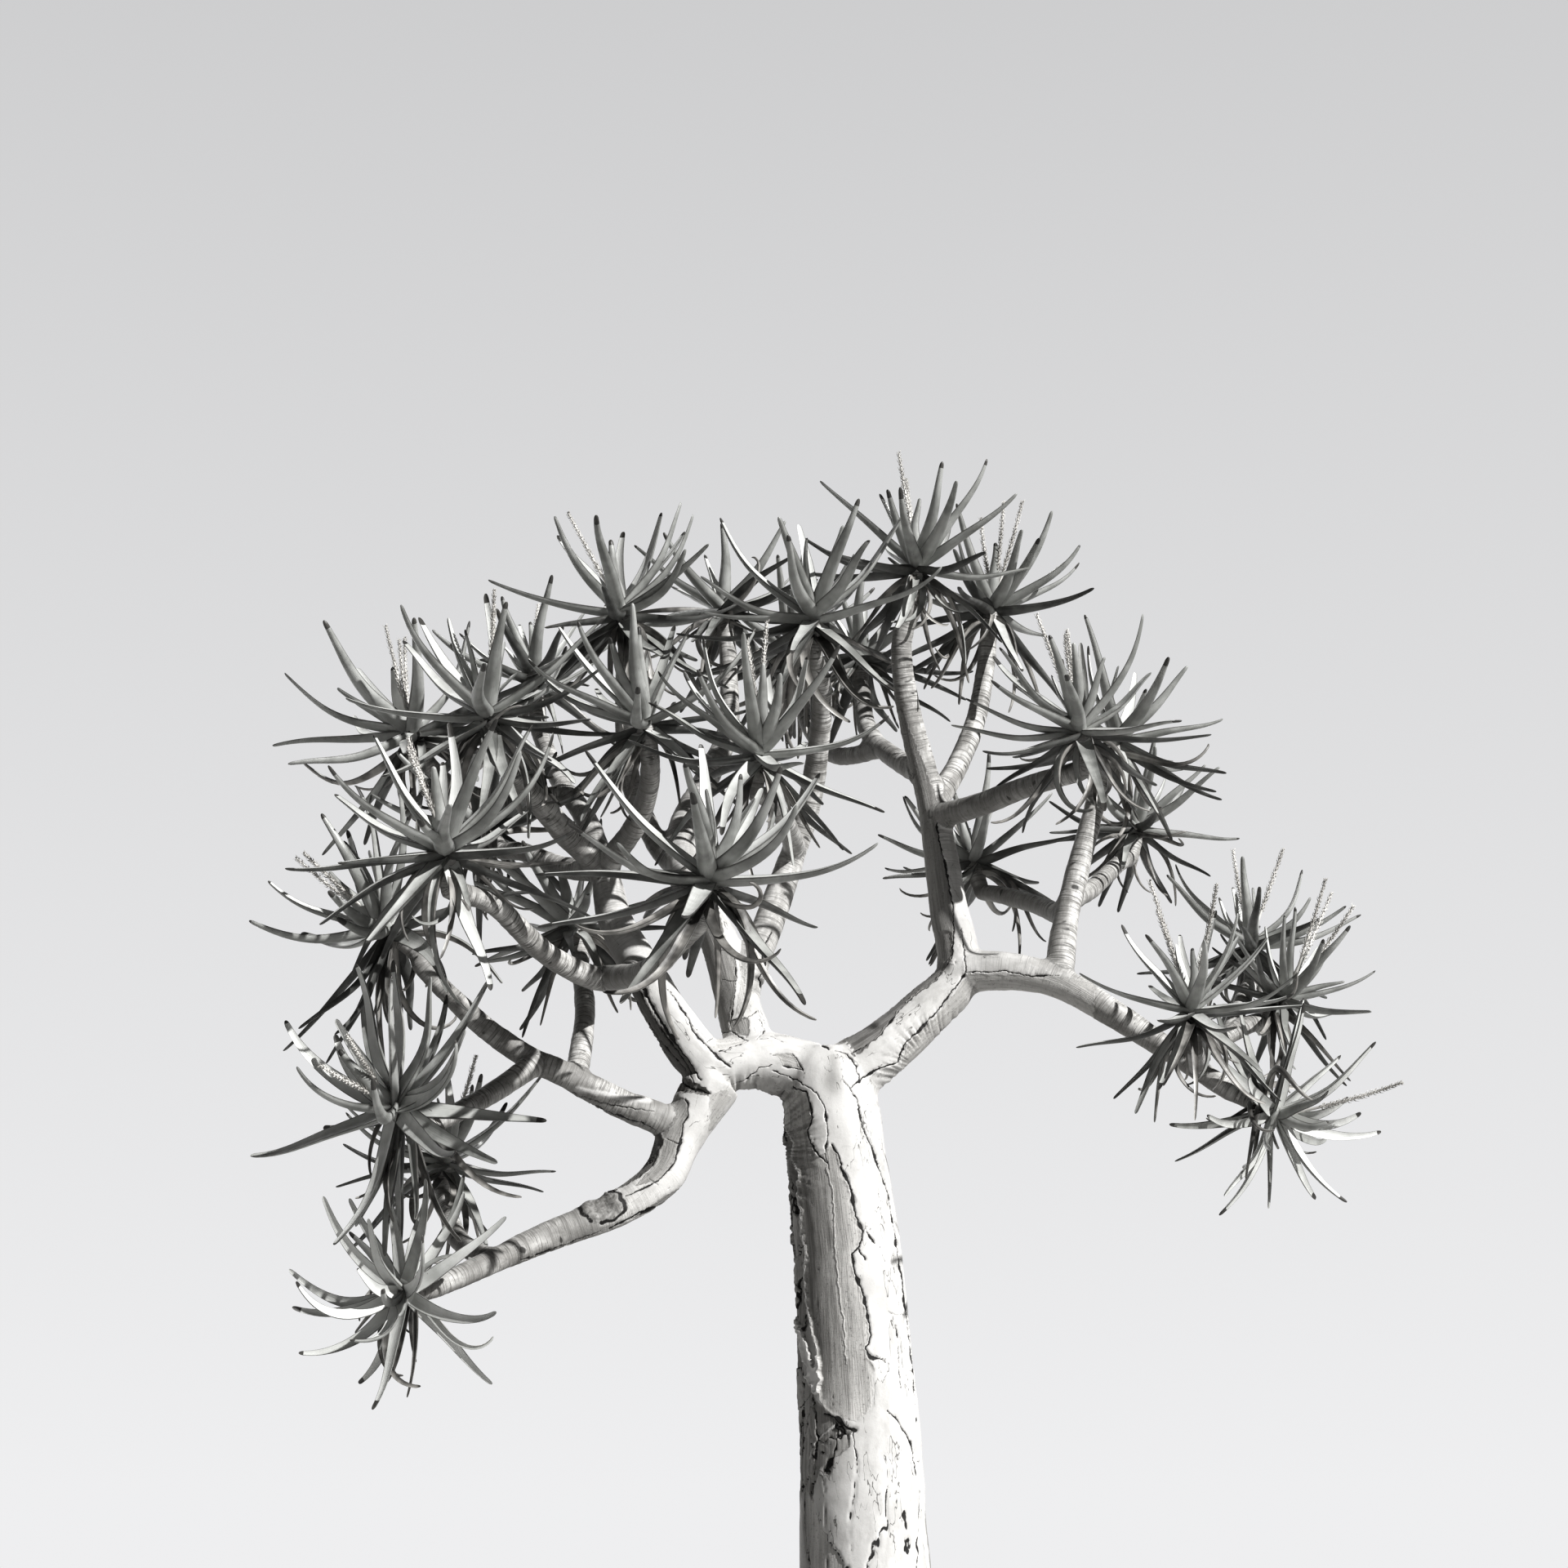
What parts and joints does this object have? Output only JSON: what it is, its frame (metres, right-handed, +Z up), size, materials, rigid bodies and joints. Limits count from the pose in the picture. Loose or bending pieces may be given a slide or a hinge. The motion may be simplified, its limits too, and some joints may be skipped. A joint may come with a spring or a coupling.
{
  "type": "kokerboom tree",
  "caption": "Forked tree aloe with a tapering flaking trunk, smooth pale branches and a rosette of thick pointed leaves at the tip of each one.",
  "frame": {"origin": "middle of the flat cut under the trunk, at ground level", "axes": "+Z up along the trunk, -Y towards the viewer of the picture, +X to that viewer's right"},
  "size_m": [2.5329, 2.0639, 3.0674],
  "materials": {
    "trunk_bark": "smooth, flaking in plates",
    "branch_bark": "smooth, powdery",
    "leaf": "satin, waxy"
  },
  "bodies": {
    "root": {"trunk": "trunk_bark", "bough_left": "trunk_bark", "bough_low_left": "trunk_bark", "branch_low_left_upright": "branch_bark", "bough_far_left": "branch_bark", "branch_far_left_low": "branch_bark", "branch_far_left_upright": "branch_bark", "branch_front_left": "branch_bark", "branch_front_middle": "branch_bark", "branch_left_inner": "branch_bark", "branch_back_left": "branch_bark", "branch_back_far_left": "branch_bark", "branch_left_top": "branch_bark", "bough_centre": "trunk_bark", "branch_top_left": "branch_bark", "bough_centre_right": "trunk_bark", "branch_front_centre": "branch_bark", "bough_right": "trunk_bark", "branch_right_top": "branch_bark", "branch_right_front": "branch_bark", "branch_back_centre": "branch_bark", "branch_back": "branch_bark", "bough_far_right": "trunk_bark", "branch_right_upright": "branch_bark", "branch_back_right_inner": "branch_bark", "branch_back_right": "branch_bark", "branch_far_right_front": "branch_bark", "branch_far_right_end": "branch_bark", "branch_far_right_upright": "branch_bark", "rosette_bough_left": "leaf", "rosette_bough_low_left": "leaf", "rosette_branch_low_left_upright": "leaf", "rosette_bough_far_left": "leaf", "rosette_branch_far_left_low": "leaf", "rosette_branch_far_left_upright": "leaf", "rosette_branch_front_left": "leaf", "rosette_branch_front_middle": "leaf", "rosette_branch_left_inner": "leaf", "rosette_branch_back_left": "leaf", "rosette_branch_back_far_left": "leaf", "rosette_branch_left_top": "leaf", "rosette_bough_centre": "leaf", "rosette_branch_top_left": "leaf", "rosette_bough_centre_right": "leaf", "rosette_branch_front_centre": "leaf", "rosette_bough_right": "leaf", "rosette_branch_right_top": "leaf", "rosette_branch_right_front": "leaf", "rosette_branch_back_centre": "leaf", "rosette_branch_back": "leaf", "rosette_bough_far_right": "leaf", "rosette_branch_right_upright": "leaf", "rosette_branch_back_right_inner": "leaf", "rosette_branch_back_right": "leaf", "rosette_branch_far_right_front": "leaf", "rosette_branch_far_right_end": "leaf", "rosette_branch_far_right_upright": "leaf"}
  },
  "joints": []
}
